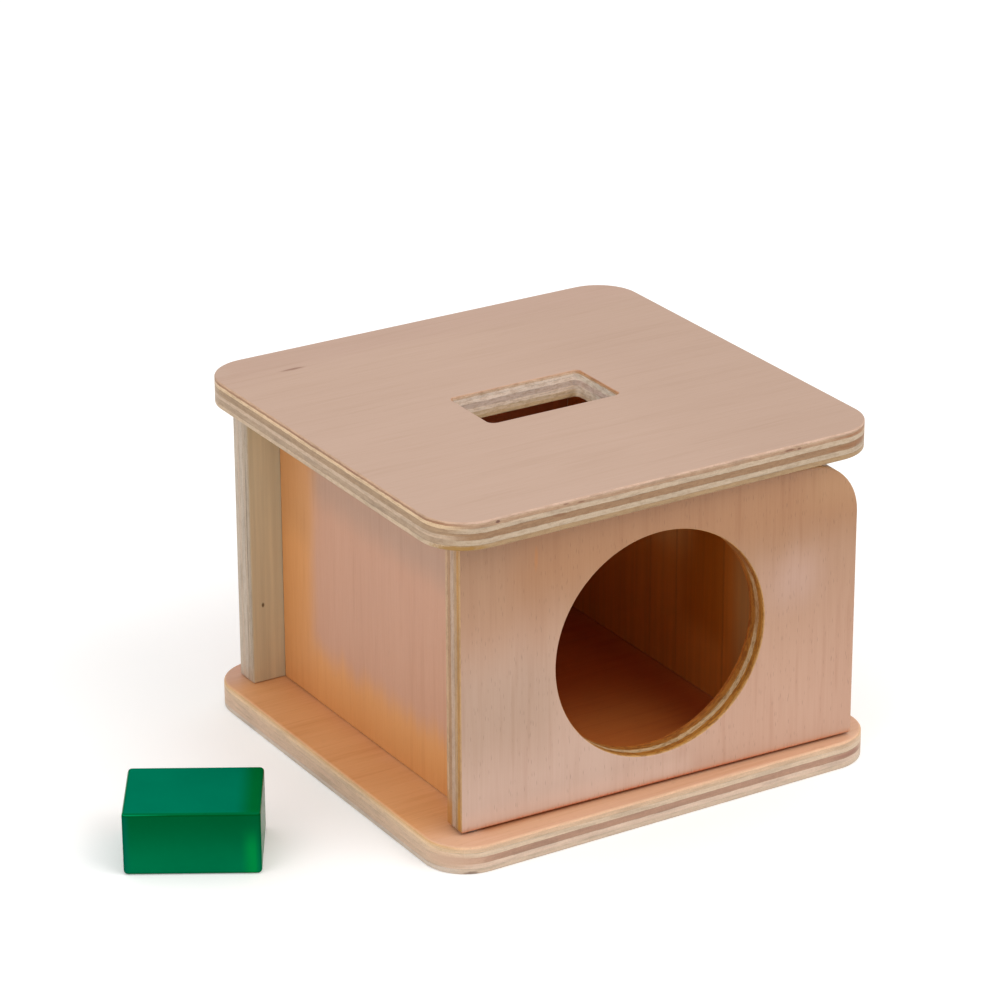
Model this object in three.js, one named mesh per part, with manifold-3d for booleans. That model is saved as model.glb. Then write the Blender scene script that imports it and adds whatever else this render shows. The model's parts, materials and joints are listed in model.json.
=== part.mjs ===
// Object permanence box: a plywood box with a posting slot in its lid, a front door that turns on two
// steel pins and has a round hand hole, and a loose block that is posted through the slot.
// Millimetres, +Z up, front towards -Y. The origin is on the base board's underside, below the lid's centre.
import * as THREE from "three";
import { RoundedBoxGeometry } from "three/addons/geometries/RoundedBoxGeometry.js";
import { mergeVertices } from "three/addons/utils/BufferGeometryUtils.js";
import Module from "manifold-3d";

// Plywood
const PLY = 8.8; // sanded thickness of every board
const BOARD_ARRIS = 0.5; // rounding of the base's and the lid's edges
const PANEL_ARRIS = 0.5; // rounding of the edges of the walls and the back panel
const JOINT_GAP = 0.1; // glue line, and the play under a seated washer

// Base and lid
const BOARD_WIDTH = 150;
const BOARD_DEPTH = 147;
const BOARD_CORNER = 14; // corner radius in plan
const BASE_RUN_ON = 2.4; // of the base past the lid, at the door's free side
const WALL_HEIGHT = 92.6;

// Walls and back panel
const SIDE_INSET = 18.4; // from the lid's side edge to a wall's outer face
const BACK_INSET = 7.7; // from the lid's back edge to the back panel's outer face
const BACK_OVERHANG = 11; // of the back panel past a wall's outer face

// Door
const DOOR_INSET = 8.2; // from the lid's front edge to the closed door's face
const DOOR_STOP_GAP = 0.3; // closed door to the walls' front ends
const DOOR_OVERHANG = 12.7; // of the free edge past the right wall's outer face
const DOOR_TOP_GAP = 1.8;
const DOOR_CORNER = 17.3; // radius of the upper free corner
const DOOR_ARRIS = 0.5;
const DOOR_AJAR_DEG = 2.1; // the door is stored a little open
const HOLE_DIAMETER = 71.2;
const HOLE_TO_HINGE = 0.4; // of the hole's centre from the door's middle, towards the hinge

// Pivot
const PIN_DIAMETER = 3;
const PIN_LENGTH = 16;
const PIN_IN_BOARD = 6;
const PIN_CHAMFER = 0.4;
const PIN_SEAT_CLEARANCE = 0.1; // round a pin in the base or the lid
const PIN_RUNNING_CLEARANCE = 0.3; // round a pin in the door
const HEEL_CLEARANCE = 0.2; // lets the door's hinge end swing past the wall
const WASHER_DIAMETER = 7;
const WASHER_THICKNESS = 0.6;
const WASHER_CLEARANCE = 0.15; // under the door

// Dowels
const DOWEL_DIAMETER = 5;
const DOWEL_LENGTH = 18;
const DOWEL_IN_BOARD = 5.5;
const DOWEL_CHAMFER = 0.6;
const DOWEL_CLEARANCE = 0.15;
const DOWEL_INSET = 20; // from the end of a wall or of the back panel
const BORE_END_CLEARANCE = 0.3; // past the end of a pin or a dowel

// Block, and the slot that it passes through
const BLOCK_LENGTH = 40;
const BLOCK_WIDTH = 30;
const BLOCK_HEIGHT = 20;
const BLOCK_EDGE = 0.8; // edge rounding
const BLOCK_STANDOFF = 52.4; // from the base's left edge to the block's centre
const BLOCK_FORWARD = 17; // of the block's centre in front of the box's middle
const BLOCK_YAW_DEG = -30.7;
const SLOT_END_CLEARANCE = 2.7;
const SLOT_SIDE_CLEARANCE = 1.9;
const SLOT_TO_HINGE = 0.3; // of the slot's centre from the lid's middle, towards the hinge side
const SLOT_FORWARD = 0.5; // of the slot's centre from the lid's middle, towards the door
const SLOT_CORNER = 2;

// Facets
const CORNER_FACETS = 10; // in each quarter turn of an outline
const HOLE_FACETS = 16; // in each quarter of the hand hole
const ARRIS_FACETS = 2;
const PIN_FACETS = 24;
const DOWEL_FACETS = 16;
const BLOCK_EDGE_FACETS = 3;

// Levels and planes that the pieces share
const baseTop = PLY;
const wallBottom = baseTop + JOINT_GAP;
const wallTop = wallBottom + WALL_HEIGHT;
const lidBottom = wallTop + JOINT_GAP;
const wallOuter = BOARD_WIDTH / 2 - SIDE_INSET;
const backOuter = BOARD_DEPTH / 2 - BACK_INSET;
const wallBack = backOuter - PLY - JOINT_GAP;
const doorFace = -BOARD_DEPTH / 2 + DOOR_INSET;
const wallFront = doorFace + PLY + DOOR_STOP_GAP;
const washerBottom = baseTop + JOINT_GAP;
const doorBottom = washerBottom + WASHER_THICKNESS + WASHER_CLEARANCE;
const doorHeight = lidBottom - DOOR_TOP_GAP - doorBottom;
const doorHeel = PLY / 2; // from the pivot to the door's hinge end
const pivotX = -wallOuter - HEEL_CLEARANCE - doorHeel;
const pivotY = doorFace + PLY / 2;
const doorFree = wallOuter + DOOR_OVERHANG - pivotX; // from the pivot to the free end
const pinRadius = PIN_DIAMETER / 2;
const dowelRadius = DOWEL_DIAMETER / 2;

const quarter = Math.PI / 2;
const wasm = await Module();
wasm.setup();

const beech = new THREE.MeshStandardMaterial({ color: 0xcca98f, roughness: 0.5 });
const dowelWood = new THREE.MeshStandardMaterial({ color: 0xd9bd97, roughness: 0.7 });
const steel = new THREE.MeshStandardMaterial({ color: 0xa9abad, roughness: 0.35, metalness: 1 });
const greenLacquer = new THREE.MeshStandardMaterial({ color: 0x017244, roughness: 0.25 });

const box = new THREE.Group();

// A closed geometry as a solid that can be cut
function solidOf(geometry) {
  const bare = geometry.clone();
  bare.deleteAttribute("normal");
  bare.deleteAttribute("uv");
  const merged = mergeVertices(bare);
  return new wasm.Manifold(
    new wasm.Mesh({
      numProp: 3,
      vertProperties: new Float32Array(merged.attributes.position.array),
      triVerts: new Uint32Array(merged.index.array),
    }),
  );
}

// A geometry with the tools' shapes cut away
function cut(geometry, tools) {
  let solid = solidOf(geometry);
  for (const tool of tools) solid = solid.subtract(solidOf(tool));
  const mesh = solid.getMesh();
  const made = new THREE.BufferGeometry();
  made.setAttribute("position", new THREE.BufferAttribute(mesh.vertProperties, 3));
  made.setIndex(new THREE.BufferAttribute(mesh.triVerts, 1));
  made.computeVertexNormals();
  return made;
}

function addPiece(name, geometry, material, parent = box) {
  const piece = new THREE.Mesh(geometry, material);
  piece.name = name;
  parent.add(piece);
  return piece;
}

// A rectangle with rounded corners, centred on x and y
function roundedRectangle(path, x, y, width, depth, radius) {
  const dx = width / 2 - radius;
  const dy = depth / 2 - radius;
  path.absarc(x + dx, y - dy, radius, -quarter, 0);
  path.absarc(x + dx, y + dy, radius, 0, quarter);
  path.absarc(x - dx, y + dy, radius, quarter, 2 * quarter);
  path.absarc(x - dx, y - dy, radius, 2 * quarter, 3 * quarter);
  path.closePath();
  return path;
}

// A board cut to an outline, lying from z = 0 to one ply thickness, with its edges rounded over
function eased(shape, arris, facets) {
  return new THREE.ExtrudeGeometry(shape, {
    depth: PLY - 2 * arris,
    bevelThickness: arris,
    bevelSize: arris,
    bevelOffset: -arris,
    bevelSegments: ARRIS_FACETS,
    curveSegments: facets / 2, // an arc takes two facets for each
  }).translate(0, 0, arris);
}

// An upright round tool or bore from z = 0 up
function bore(radius, depth, facets) {
  const cylinder = new THREE.CylinderGeometry(radius, radius, depth, facets);
  return cylinder.rotateX(quarter).translate(0, 0, depth / 2);
}

// A round peg with chamfered ends, standing from z = 0 up
function peg(radius, length, chamfer, facets) {
  const profile = [
    new THREE.Vector2(0, 0),
    new THREE.Vector2(radius - chamfer, 0),
    new THREE.Vector2(radius, chamfer),
    new THREE.Vector2(radius, length - chamfer),
    new THREE.Vector2(radius - chamfer, length),
    new THREE.Vector2(0, length),
  ];
  return new THREE.LatheGeometry(profile, facets).rotateX(quarter);
}

// Dowel places in plan: two along each upright board
const wallX = wallOuter - PLY / 2;
const backY = backOuter - PLY / 2;
const backHalf = wallOuter + BACK_OVERHANG;
const dowelPlaces = [
  { name: "left_front", x: -wallX, y: wallFront + DOWEL_INSET },
  { name: "left_back", x: -wallX, y: wallBack - DOWEL_INSET },
  { name: "right_front", x: wallX, y: wallFront + DOWEL_INSET },
  { name: "right_back", x: wallX, y: wallBack - DOWEL_INSET },
  { name: "back_left", x: -backHalf + DOWEL_INSET, y: backY },
  { name: "back_right", x: backHalf - DOWEL_INSET, y: backY },
];

// Every dowel bore crosses a joint, so one set of tools cuts the boards and the uprights
const dowelBoreRadius = dowelRadius + DOWEL_CLEARANCE;
const dowelBoreDepth = DOWEL_LENGTH + 2 * BORE_END_CLEARANCE;
const lowerDowel = baseTop - DOWEL_IN_BOARD;
const upperDowel = lidBottom + DOWEL_IN_BOARD - DOWEL_LENGTH;

function dowelBores(z) {
  return dowelPlaces.map(({ x, y }) =>
    bore(dowelBoreRadius, dowelBoreDepth, DOWEL_FACETS).translate(x, y, z - BORE_END_CLEARANCE),
  );
}

const lowerDowelBores = dowelBores(lowerDowel);
const upperDowelBores = dowelBores(upperDowel);

// Pins: the same pin stands in the base and hangs in the lid
const lowerPin = baseTop - PIN_IN_BOARD;
const upperPin = lidBottom + PIN_IN_BOARD - PIN_LENGTH;
const pinBoreDepth = PIN_LENGTH + 2 * BORE_END_CLEARANCE;

function pinBore(clearance, z) {
  return bore(pinRadius + clearance, pinBoreDepth, PIN_FACETS).translate(0, 0, z - BORE_END_CLEARANCE);
}

function seatBore(z) {
  return pinBore(PIN_SEAT_CLEARANCE, z).translate(pivotX, pivotY, 0);
}

// Base and lid boards
function boardOutline(runOn) {
  const width = BOARD_WIDTH + runOn;
  return roundedRectangle(new THREE.Shape(), runOn / 2, 0, width, BOARD_DEPTH, BOARD_CORNER);
}

const baseBlank = eased(boardOutline(BASE_RUN_ON), BOARD_ARRIS, CORNER_FACETS);
addPiece("base_board", cut(baseBlank, [...lowerDowelBores, seatBore(lowerPin)]), beech);

const lidOutline = boardOutline(0);
const slotLength = BLOCK_LENGTH + 2 * SLOT_END_CLEARANCE;
const slotWidth = BLOCK_HEIGHT + 2 * SLOT_SIDE_CLEARANCE;
lidOutline.holes.push(
  roundedRectangle(new THREE.Path(), -SLOT_TO_HINGE, -SLOT_FORWARD, slotLength, slotWidth, SLOT_CORNER),
);
const lidBlank = eased(lidOutline, BOARD_ARRIS, CORNER_FACETS).translate(0, 0, lidBottom);
addPiece("top_board", cut(lidBlank, [...upperDowelBores, seatBore(upperPin)]), beech);

// Uprights: plain rectangles in plan, with their standing edges eased
function addUpright(name, x, y, width, depth) {
  const plan = roundedRectangle(new THREE.Shape(), x, y, width, depth, PANEL_ARRIS);
  const blank = new THREE.ExtrudeGeometry(plan, {
    depth: WALL_HEIGHT,
    bevelEnabled: false,
    curveSegments: ARRIS_FACETS / 2,
  }).translate(0, 0, wallBottom);
  addPiece(name, cut(blank, [...lowerDowelBores, ...upperDowelBores]), beech);
}

const wallLength = wallBack - wallFront;
const wallMiddle = (wallBack + wallFront) / 2;
addUpright("left_wall", -wallX, wallMiddle, PLY, wallLength);
addUpright("right_wall", wallX, wallMiddle, PLY, wallLength);
addUpright("back_panel", 0, backY, 2 * backHalf, PLY);

// Dowels
for (const { name, x, y } of dowelPlaces) {
  const dowel = peg(dowelRadius, DOWEL_LENGTH, DOWEL_CHAMFER, DOWEL_FACETS);
  addPiece(`dowel_${name}_lower`, dowel, dowelWood).position.set(x, y, lowerDowel);
  addPiece(`dowel_${name}_upper`, dowel, dowelWood).position.set(x, y, upperDowel);
}

// Door pivot: two pins on one upright axis, with a washer under the door
const pin = peg(pinRadius, PIN_LENGTH, PIN_CHAMFER, PIN_FACETS);
addPiece("lower_pivot_pin", pin, steel).position.set(pivotX, pivotY, lowerPin);
addPiece("upper_pivot_pin", pin, steel).position.set(pivotX, pivotY, upperPin);

const washerBore = pinRadius + PIN_RUNNING_CLEARANCE;
const washerProfile = [
  new THREE.Vector2(washerBore, 0),
  new THREE.Vector2(WASHER_DIAMETER / 2, 0),
  new THREE.Vector2(WASHER_DIAMETER / 2, WASHER_THICKNESS),
  new THREE.Vector2(washerBore, WASHER_THICKNESS),
  new THREE.Vector2(washerBore, 0),
];
const washer = new THREE.LatheGeometry(washerProfile, PIN_FACETS).rotateX(quarter);
addPiece("thrust_washer", washer, steel).position.set(pivotX, pivotY, washerBottom);

// Door: its group stands on the pivot axis, and its outline is drawn from there, x along the door and y up
const doorPivot = new THREE.Group();
doorPivot.position.set(pivotX, pivotY, 0);
doorPivot.rotation.z = -THREE.MathUtils.degToRad(DOOR_AJAR_DEG);
box.add(doorPivot);

const doorTop = doorBottom + doorHeight;
const doorOutline = new THREE.Shape();
doorOutline.moveTo(-doorHeel, doorBottom);
doorOutline.lineTo(doorFree, doorBottom);
doorOutline.absarc(doorFree - DOOR_CORNER, doorTop - DOOR_CORNER, DOOR_CORNER, 0, quarter);
doorOutline.lineTo(-doorHeel, doorTop);
doorOutline.closePath();

const handHole = new THREE.Path();
const holeX = (doorFree - doorHeel) / 2 - HOLE_TO_HINGE;
const holeZ = doorBottom + doorHeight / 2;
for (let turn = 0; turn < 4; turn++) {
  handHole.absarc(holeX, holeZ, HOLE_DIAMETER / 2, turn * quarter, (turn + 1) * quarter);
}
doorOutline.holes.push(handHole);

const doorBlank = eased(doorOutline, DOOR_ARRIS, HOLE_FACETS).rotateX(quarter).translate(0, PLY / 2, 0);
const doorBores = [lowerPin, upperPin].map((z) => pinBore(PIN_RUNNING_CLEARANCE, z));
addPiece("front_door", cut(doorBlank, doorBores), beech, doorPivot);

// Block, standing beside the box
const blockGeometry = new RoundedBoxGeometry(
  BLOCK_LENGTH,
  BLOCK_WIDTH,
  BLOCK_HEIGHT,
  BLOCK_EDGE_FACETS,
  BLOCK_EDGE,
);
const block = addPiece("green_block", blockGeometry, greenLacquer);
block.position.set(-BOARD_WIDTH / 2 - BLOCK_STANDOFF, -BLOCK_FORWARD, BLOCK_HEIGHT / 2);
block.rotation.z = THREE.MathUtils.degToRad(BLOCK_YAW_DEG);

export default box;
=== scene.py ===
import bpy
import bmesh
import json
import math
from mathutils import Matrix, Vector


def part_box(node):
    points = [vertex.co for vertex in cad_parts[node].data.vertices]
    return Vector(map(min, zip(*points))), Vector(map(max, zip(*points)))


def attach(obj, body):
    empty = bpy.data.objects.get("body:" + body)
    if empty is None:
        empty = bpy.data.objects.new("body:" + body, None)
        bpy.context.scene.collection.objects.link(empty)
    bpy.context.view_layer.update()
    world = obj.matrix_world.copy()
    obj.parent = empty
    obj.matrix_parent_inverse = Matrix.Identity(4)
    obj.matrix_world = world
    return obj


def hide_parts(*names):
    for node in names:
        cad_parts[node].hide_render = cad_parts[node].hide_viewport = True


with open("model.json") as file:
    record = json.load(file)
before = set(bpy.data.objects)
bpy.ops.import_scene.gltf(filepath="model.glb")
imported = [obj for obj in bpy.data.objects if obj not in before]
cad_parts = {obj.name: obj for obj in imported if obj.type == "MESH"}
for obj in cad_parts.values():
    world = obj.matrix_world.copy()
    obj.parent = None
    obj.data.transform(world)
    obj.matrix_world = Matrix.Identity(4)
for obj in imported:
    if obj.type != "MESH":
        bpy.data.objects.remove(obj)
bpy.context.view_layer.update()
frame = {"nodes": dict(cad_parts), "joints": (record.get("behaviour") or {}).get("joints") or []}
mm = 0.001
print("frame loaded:", len(frame["nodes"]), "nodes")


# Small helpers for node trees

def tint(red, green, blue):
    # a colour as a paint chart gives it, 0 to 255, turned into light values
    def light(value):
        share = value / 255
        return share / 12.92 if share <= 0.04045 else ((share + 0.055) / 1.055) ** 2.4
    return (light(red), light(green), light(blue), 1.0)


def newNode(tree, kind, inputs=None, **settings):
    node = tree.nodes.new("ShaderNode" + kind)
    for name, value in settings.items():
        setattr(node, name, value)
    for name, value in (inputs or {}).items():
        if isinstance(value, bpy.types.NodeSocket):
            tree.links.new(value, node.inputs[name])
        else:
            node.inputs[name].default_value = value
    return node


def calc(tree, operation, *values):
    return newNode(tree, "Math", dict(enumerate(values)), operation=operation).outputs[0]


def vectorCalc(tree, operation, *values):
    return newNode(tree, "VectorMath", dict(enumerate(values)), operation=operation).outputs[0]


def dimmed(tree, colour, amount):
    source = colour if isinstance(colour, bpy.types.NodeSocket) else colour[:3]
    return newNode(tree, "VectorMath", {0: source, "Scale": amount}, operation="SCALE").outputs[0]


def fade(tree, value, start, end, low=0.0, high=1.0):
    spans = {"Value": value, "From Min": start, "From Max": end, "To Min": low, "To Max": high}
    return newNode(tree, "MapRange", spans, interpolation_type="SMOOTHSTEP").outputs["Result"]


def mixed(tree, factor, first, second):
    return newNode(tree, "Mix", {0: factor, 6: first, 7: second}, data_type="RGBA").outputs[2]


def noise(tree, vector, stretch, detail=2.0, roughness=0.5):
    # stretch is in bumps to one unit of the vector, along each axis
    squeezed = vectorCalc(tree, "MULTIPLY", vector, stretch)
    sockets = {"Vector": squeezed, "Scale": 1.0, "Detail": detail, "Roughness": roughness}
    return newNode(tree, "TexNoise", sockets).outputs[0]


def pushed(tree, value, reach):
    # a noise from 0 to 1 as a push either way
    return calc(tree, "MULTIPLY", calc(tree, "SUBTRACT", value, 0.5), reach)


def parted(tree, vector):
    return newNode(tree, "SeparateXYZ", {0: vector}).outputs


def inMillimetres(tree):
    coordinates = newNode(tree, "TexCoord").outputs["Object"]
    return newNode(tree, "Mapping", {"Vector": coordinates, "Scale": (1 / mm, 1 / mm, 1 / mm)}).outputs[0]


def newGroup(name, inputs, outputs):
    group = bpy.data.node_groups.new(name, "ShaderNodeTree")
    for label, kind, value in inputs:
        socket = group.interface.new_socket(label, in_out="INPUT", socket_type="NodeSocket" + kind)
        if value is not None:
            socket.default_value = value
    for label, kind in outputs:
        group.interface.new_socket(label, in_out="OUTPUT", socket_type="NodeSocket" + kind)
    return group, group.nodes.new("NodeGroupInput").outputs, group.nodes.new("NodeGroupOutput").inputs


def useGroup(tree, group, **inputs):
    node = tree.nodes.new("ShaderNodeGroup")
    node.node_tree = group
    for name, value in inputs.items():
        label = name[0].upper() + name[1:]
        if isinstance(value, bpy.types.NodeSocket):
            tree.links.new(value, node.inputs[label])
        else:
            node.inputs[label].default_value = value
    return node.outputs


def newMaterial(name):
    material = bpy.data.materials.new(name)
    material.use_nodes = True
    return material, material.node_tree, material.node_tree.nodes["Principled BSDF"]


def setShader(shader, values):
    for name, value in values.items():
        shader.inputs[name].default_value = value


def feedShader(tree, shader, colour, roughness, height):
    # height is in millimetres
    bump = newNode(tree, "Bump", {"Height": height, "Distance": mm})
    tree.links.new(colour, shader.inputs["Base Color"])
    tree.links.new(roughness, shader.inputs["Roughness"])
    tree.links.new(bump.outputs[0], shader.inputs["Normal"])


# Plywood finish
# A grain is in bumps to the millimetre along the fibres, across them and out of the face.
# A span is where a fade starts and ends, and then what it goes from and to.

plySetup = dict(
    levels=(1.65, 3.25, 5.25, 6.8, 7.65, 8.15),   # tops of the layers above the back face, mm
    grooves=(1.65, 3.25, 5.25, 6.8),              # those that show as a fine groove
    thickness=8.8,
    swayGrain=(0.06, 0.06, 0.12),
    wobble=0.44,                                  # how far a glue line wanders in all, mm
    frayGrain=(0.4, 0.4, 0.5),
    jitter=1.6,                                   # how far a ragged cut frays it in all, mm
    glueHalf=0.08,                                # half width of a glue line, mm
    glueCore=0.3,                                 # share of it that is fully dark
    grooveDepth=0.05 * mm,
    grooveHalf=0.08 * mm,
    coat=0.12, coatRoughness=0.32,
)
facingSetup = dict(faceSpan=(0.72, 0.92), frontSpan=(-0.1, 0.1), endSpan=(0.35, 0.92))
veneerSetup = dict(
    fibreGrain=(0.05, 1.7, 1.7), fibreShare=0.45, fibreRelief=0.012, glossSpan=(0.2, 0.8, 0.40, 0.50),
    bandGrain=(0.010, 0.10, 0.10), bandShare=0.35,
    cloudGrain=(0.018, 0.030, 0.030), cloudShare=0.20,
    toneSpan=(0.34, 0.66),
    streakGrain=(0.028, 0.42, 0.42), streakSpan=(0.50, 0.74),
    fleckGrain=(0.24, 1.9, 1.9), fleckSpan=(0.28, 0.06), fleckShade=0.62, fleckRelief=0.02,
    patchGrain=(0.03, 0.09, 0.09), patchSpan=(0.85, 1.05),
)
backSetup = dict(lineGrain=(0.012, 0.45, 0.45), shadeSpan=(0.25, 0.75, 1.06, 0.86))
edgeSetup = dict(
    runGrain=(0.10, 0.10, 1.6), runSpan=(0.25, 0.75, 1.07, 0.91), runRelief=0.05,
    poreGrain=(2.6, 2.6, 2.6), poreSpan=(0.30, 0.70, 1.04, 0.95), poreRelief=0.02,
    glossSpan=(0.2, 0.8, 0.52, 0.66),
    patchGrain=(0.06, 0.06, 0.5), patchSpan=(0.50, 0.70), patchShade=0.14,
    brokenGrain=(0.22, 0.22, 0.8), brokenSpan=(0.42, 0.68, 0.05, 0.40),
    tornGrain=(0.38, 0.38, 1.1), tornSpan=(0.46, 0.60),
    tornShade=(0.62, 0.50, 0.38),                 # what a torn fibre keeps of the ply's colour
)
markSetup = dict(
    borderGrain=(0.02, 0.16, 0.1),                # how an area's border wanders
    roughGrain=(0.25, 1.6, 1.6), roughReach=0.9, span=(1.0, 0.35),
)


def makePlyDepth():
    # where a point lies between the back and the veneer, and how near a glue line
    group, entry, leave = newGroup(
        "plyDepth",
        [("Place", "Vector", None), ("Ragged", "Float", 0.0), ("Seed", "Float", 0.0)],
        [("Depth", "Float"), ("Glue", "Float")],
    )
    drift = newNode(group, "CombineXYZ", {0: entry["Seed"], 1: entry["Seed"], 2: 0.0}).outputs[0]
    spot = vectorCalc(group, "ADD", entry["Place"], drift)
    sway = noise(group, spot, plySetup["swayGrain"], detail=3)
    offset = pushed(group, sway, plySetup["wobble"])
    frayed = noise(group, spot, plySetup["frayGrain"], detail=4, roughness=0.65)
    frayed = pushed(group, frayed, plySetup["jitter"])
    offset = calc(group, "ADD", offset, calc(group, "MULTIPLY", frayed, entry["Ragged"]))
    settled = calc(group, "ADD", parted(group, entry["Place"])[2], offset)
    glue = 0.0
    for level in plySetup["grooves"]:
        away = calc(group, "ABSOLUTE", calc(group, "SUBTRACT", settled, level))
        line = fade(group, away, plySetup["glueHalf"], plySetup["glueCore"] * plySetup["glueHalf"])
        glue = calc(group, "MAXIMUM", glue, line)
    group.links.new(calc(group, "DIVIDE", settled, plySetup["thickness"]), leave["Depth"])
    group.links.new(glue, leave["Glue"])
    return group


def makePlywood():
    # beech veneer on the front, plain poplar on the back, layered edges between
    group, entry, leave = newGroup(
        "beechPlywood",
        [
            ("Place", "Vector", None), ("Facing", "Vector", None),
            ("Veneer", "Color", None), ("Figure", "Color", None), ("Back", "Color", None),
            ("Sides", "Color", None), ("Ends", "Color", None), ("Glue", "Float", 0.0),
            ("Flecks", "Float", 0.5), ("Streaks", "Float", 0.5), ("Ragged", "Float", 0.3),
            ("Seed", "Float", 0.0),
        ],
        [("Colour", "Color"), ("Roughness", "Float"), ("Height", "Float")],
    )
    facing = parted(group, entry["Facing"])
    onFace = fade(group, calc(group, "ABSOLUTE", facing[2]), *facingSetup["faceSpan"])
    onFront = fade(group, facing[2], *facingSetup["frontSpan"])
    onEnd = fade(group, calc(group, "ABSOLUTE", facing[0]), *facingSetup["endSpan"])
    drift = newNode(group, "CombineXYZ", {0: entry["Seed"], 1: entry["Seed"], 2: entry["Seed"]}).outputs[0]
    spot = vectorCalc(group, "ADD", entry["Place"], drift)

    # veneer: fine fibres, soft bands, long streaks and short pore flecks along the grain
    look = veneerSetup
    fibre = noise(group, spot, look["fibreGrain"], detail=4, roughness=0.6)
    bands = noise(group, spot, look["bandGrain"], detail=2)
    cloud = noise(group, spot, look["cloudGrain"], detail=1)
    streak = fade(group, noise(group, spot, look["streakGrain"], detail=3), *look["streakSpan"])
    cells = vectorCalc(group, "MULTIPLY", spot, look["fleckGrain"])
    voronoi = newNode(group, "TexVoronoi", {"Vector": cells, "Scale": 1.0}, feature="F1")
    chance = parted(group, voronoi.outputs["Color"])[0]
    patchy = noise(group, spot, look["patchGrain"], detail=2)
    likely = fade(group, calc(group, "ADD", chance, patchy), *look["patchSpan"])
    fleck = calc(group, "MULTIPLY", fade(group, voronoi.outputs["Distance"], *look["fleckSpan"]), likely)
    tone = calc(group, "ADD", calc(group, "MULTIPLY", fibre, look["fibreShare"]),
                calc(group, "MULTIPLY", bands, look["bandShare"]))
    tone = calc(group, "ADD", tone, calc(group, "MULTIPLY", cloud, look["cloudShare"]))
    tone = fade(group, tone, *look["toneSpan"])
    figured = calc(group, "MULTIPLY", calc(group, "ADD", tone, streak), entry["Streaks"])
    veneer = mixed(group, calc(group, "MINIMUM", figured, 1.0), entry["Veneer"], entry["Figure"])
    pore = dimmed(group, entry["Figure"], look["fleckShade"])
    veneer = mixed(group, calc(group, "MULTIPLY", fleck, entry["Flecks"]), veneer, pore)
    faceGloss = fade(group, fibre, *look["glossSpan"])
    faceRelief = calc(group, "SUBTRACT", calc(group, "MULTIPLY", fibre, look["fibreRelief"]),
                      calc(group, "MULTIPLY", fleck, look["fleckRelief"]))

    # back: plain wood with a few darker lines
    lines = noise(group, spot, backSetup["lineGrain"], detail=4, roughness=0.65)
    back = dimmed(group, entry["Back"], fade(group, lines, *backSetup["shadeSpan"]))

    # edges: plies with streaks along them, open pores on end grain, glue between
    look = edgeSetup
    run = noise(group, spot, look["runGrain"], detail=3, roughness=0.6)
    pores = noise(group, spot, look["poreGrain"], detail=2)
    patch = fade(group, noise(group, spot, look["patchGrain"], detail=2), *look["patchSpan"])
    patch = calc(group, "MULTIPLY", patch, look["patchShade"])
    broken = fade(group, noise(group, spot, look["brokenGrain"], detail=3), *look["brokenSpan"])
    broken = calc(group, "MULTIPLY", entry["Glue"], broken)
    edge = mixed(group, onEnd, entry["Sides"], entry["Ends"])
    edge = dimmed(group, edge, fade(group, run, *look["runSpan"]))
    edge = dimmed(group, edge, fade(group, pores, *look["poreSpan"]))
    edge = dimmed(group, edge, calc(group, "SUBTRACT", 1.0, patch))
    edge = dimmed(group, edge, calc(group, "SUBTRACT", 1.0, broken))
    torn = noise(group, spot, look["tornGrain"], detail=4, roughness=0.65)
    torn = calc(group, "MULTIPLY", fade(group, torn, *look["tornSpan"]), entry["Ragged"])
    edge = mixed(group, torn, edge, vectorCalc(group, "MULTIPLY", edge, look["tornShade"]))
    edgeGloss = fade(group, pores, *look["glossSpan"])
    edgeRelief = calc(group, "ADD", calc(group, "MULTIPLY", run, look["runRelief"]),
                      calc(group, "MULTIPLY", pores, look["poreRelief"]))

    faces = mixed(group, onFront, back, veneer)
    gloss = newNode(group, "Mix", {0: onFace, 2: edgeGloss, 3: faceGloss}).outputs[0]
    relief = newNode(group, "Mix", {0: onFace, 2: edgeRelief, 3: faceRelief}).outputs[0]
    group.links.new(mixed(group, onFace, edge, faces), leave["Colour"])
    group.links.new(gloss, leave["Roughness"])
    group.links.new(relief, leave["Height"])
    return group


def makeAreaTone():
    # a mask over one part of a board, with a soft border that wanders along the grain
    group, entry, leave = newGroup(
        "areaTone",
        [
            ("Place", "Vector", None), ("Low", "Vector", None), ("High", "Vector", None),
            ("Border", "Float", 4.0), ("Wander", "Float", 4.0),
        ],
        [("Mask", "Float")],
    )
    ripple = noise(group, entry["Place"], markSetup["borderGrain"], detail=3)
    ripple = pushed(group, ripple, entry["Wander"])
    spot = parted(group, entry["Place"])
    low = parted(group, entry["Low"])
    high = parted(group, entry["High"])
    outside = calc(group, "MULTIPLY", entry["Border"], -1.0)
    mask = 1.0
    for axis in range(2):
        here = calc(group, "ADD", spot[axis], ripple)
        past = calc(group, "SUBTRACT", here, low[axis])
        left = calc(group, "SUBTRACT", high[axis], here)
        for reach in (past, left):
            mask = calc(group, "MULTIPLY", mask, fade(group, reach, outside, entry["Border"]))
    group.links.new(mask, leave["Mask"])
    return group


def makeGrainAndShadeMark():
    # one soft patch of colour at a given place on the face, used for dark streaks, pin knots and patches of
    # painted shade
    group, entry, leave = newGroup(
        "grainAndShadeMark",
        [("Place", "Vector", None), ("Centre", "Vector", None), ("Size", "Vector", None)],
        [("Mask", "Float")],
    )
    away = vectorCalc(group, "SUBTRACT", entry["Place"], entry["Centre"])
    away = vectorCalc(group, "DIVIDE", away, entry["Size"])
    reach = newNode(group, "VectorMath", {0: away}, operation="LENGTH").outputs["Value"]
    rough = noise(group, entry["Place"], markSetup["roughGrain"], detail=3)
    reach = calc(group, "ADD", reach, pushed(group, rough, markSetup["roughReach"]))
    group.links.new(fade(group, reach, *markSetup["span"]), leave["Mask"])
    return group


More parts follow.
